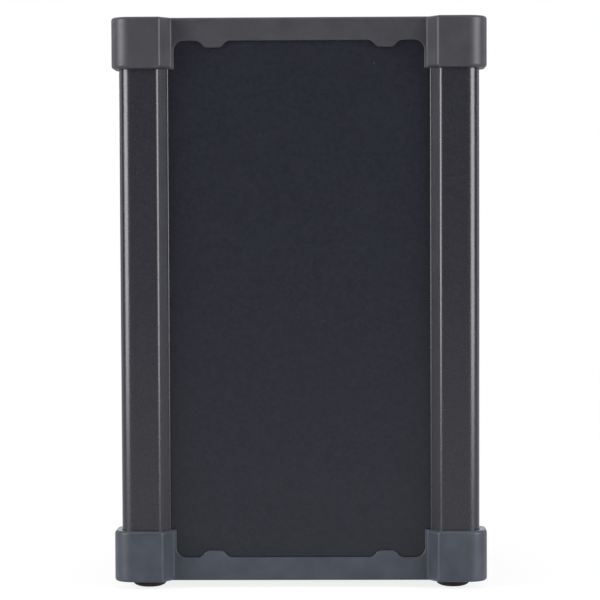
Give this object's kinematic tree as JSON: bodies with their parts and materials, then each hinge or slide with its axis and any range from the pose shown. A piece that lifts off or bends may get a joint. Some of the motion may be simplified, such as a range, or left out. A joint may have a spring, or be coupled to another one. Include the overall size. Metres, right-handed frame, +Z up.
{
  "type": "cold spark machine",
  "caption": "Upright cold spark machine in a post and panel case, with a top spark outlet, hinged filler lid, rear controls, cooling fan, sockets and folding side handles.",
  "frame": {"origin": "on the floor, under the middle of the case", "axes": "+Z up along the case's height, the plain front faces -Y, +X to the viewer's right"},
  "size_m": [0.2216, 0.2216, 0.3385],
  "materials": {
    "post_coat": "satin dark coat on aluminium",
    "panel_coat": "fine matt powder coat",
    "sheet_coat": "matt powder coat",
    "cap_plastic": "fine moulded texture",
    "foot_rubber": "matt",
    "bright_steel": "turned and brushed",
    "zinc_sheet": "zinc plated",
    "black_plastic": "moulded",
    "insulation": "pressed ceramic fibre",
    "board": "solder mask",
    "window": "clear over a dark display",
    "key_plastic": "moulded",
    "rocker_plastic": "moulded"
  },
  "bodies": {
    "case": {"corner_post_front_left": "post_coat", "corner_post_front_right": "post_coat", "corner_post_rear_left": "post_coat", "corner_post_rear_right": "post_coat", "front_panel": "panel_coat", "left_panel": "panel_coat", "right_panel": "panel_coat", "rear_panel": "panel_coat", "top_plate": "sheet_coat", "base_plate": "sheet_coat", "left_handle_plate": "sheet_coat", "right_handle_plate": "sheet_coat", "top_cap": "cap_plastic", "bottom_cap": "cap_plastic", "foot_front_left": "foot_rubber", "foot_front_right": "foot_rubber", "foot_rear_left": "foot_rubber", "foot_rear_right": "foot_rubber", "outlet_ring": "bright_steel", "chamber_tube": "bright_steel", "hopper": "bright_steel", "filler_collar": "bright_steel", "lid_hinge_pin": "bright_steel", "feed_tube": "bright_steel", "data_input": "bright_steel", "data_output": "bright_steel", "fan_guard": "bright_steel", "heater_band": "zinc_sheet", "feed_motor": "zinc_sheet", "feed_bracket": "zinc_sheet", "mid_deck": "zinc_sheet", "power_supply": "zinc_sheet", "thermal_cutout": "black_plastic", "blower_housing": "black_plastic", "display_module": "black_plastic", "control_bezel": "black_plastic", "fan_frame": "black_plastic", "power_inlet": "black_plastic", "rocker_frame": "black_plastic", "insulation_jacket": "insulation", "control_board": "board", "display_window": "window"},
    "filler_lid": {"filler_lid": "cap_plastic"},
    "left_handle": {"left_handle_bail": "black_plastic"},
    "right_handle": {"right_handle_bail": "black_plastic"},
    "fan_rotor": {"fan_rotor": "black_plastic"},
    "impeller": {"blower_impeller": "black_plastic"},
    "auger": {"feed_auger": "bright_steel"},
    "menu_button": {"menu_button": "key_plastic"},
    "down_button": {"down_button": "key_plastic"},
    "up_button": {"up_button": "key_plastic"},
    "enter_button": {"enter_button": "key_plastic"},
    "power_rocker": {"power_rocker": "rocker_plastic"},
    "data_latch": {"data_latch": "zinc_sheet"}
  },
  "joints": [
    {"name": "filler_lid_hinge", "type": "hinge", "parent": "case", "child": "filler_lid", "pos_m": [0, 0.0528, 0.3352], "axis": [-1, 0, 0], "range_deg": [0, 105]},
    {"name": "left_handle_hinge", "type": "hinge", "parent": "case", "child": "left_handle", "pos_m": [-0.1032, 0, 0.258], "axis": [0, 1, 0], "range_deg": [0, 90]},
    {"name": "right_handle_hinge", "type": "hinge", "parent": "case", "child": "right_handle", "pos_m": [0.1032, 0, 0.258], "axis": [0, -1, 0], "range_deg": [0, 90]},
    {"name": "fan_spin", "type": "hinge", "parent": "case", "child": "fan_rotor", "pos_m": [0, 0.0836, 0.15915], "axis": [0, 1, 0], "continuous": true},
    {"name": "blower_spin", "type": "hinge", "parent": "case", "child": "impeller", "pos_m": [0.02, -0.0404, 0.1618], "axis": [0, 1, 0], "continuous": true},
    {"name": "auger_spin", "type": "hinge", "parent": "case", "child": "auger", "pos_m": [0, 0.0056, 0.25], "axis": [0, 1, 0], "continuous": true},
    {"name": "menu_button_press", "type": "slide", "parent": "case", "child": "menu_button", "axis": [0, -1, 0], "range_m": [0, 0.001], "stiffness_N_per_m": 300},
    {"name": "down_button_press", "type": "slide", "parent": "case", "child": "down_button", "axis": [0, -1, 0], "range_m": [0, 0.001], "stiffness_N_per_m": 300},
    {"name": "up_button_press", "type": "slide", "parent": "case", "child": "up_button", "axis": [0, -1, 0], "range_m": [0, 0.001], "stiffness_N_per_m": 300},
    {"name": "enter_button_press", "type": "slide", "parent": "case", "child": "enter_button", "axis": [0, -1, 0], "range_m": [0, 0.001], "stiffness_N_per_m": 300},
    {"name": "power_rocker_tip", "type": "hinge", "parent": "case", "child": "power_rocker", "pos_m": [0.01442, 0.0971, 0.0618], "axis": [1, 0, 0], "range_deg": [0, 16]},
    {"name": "data_latch_press", "type": "slide", "parent": "case", "child": "data_latch", "axis": [0, -1, 0], "range_m": [0, 0.002], "stiffness_N_per_m": 200}
  ]
}
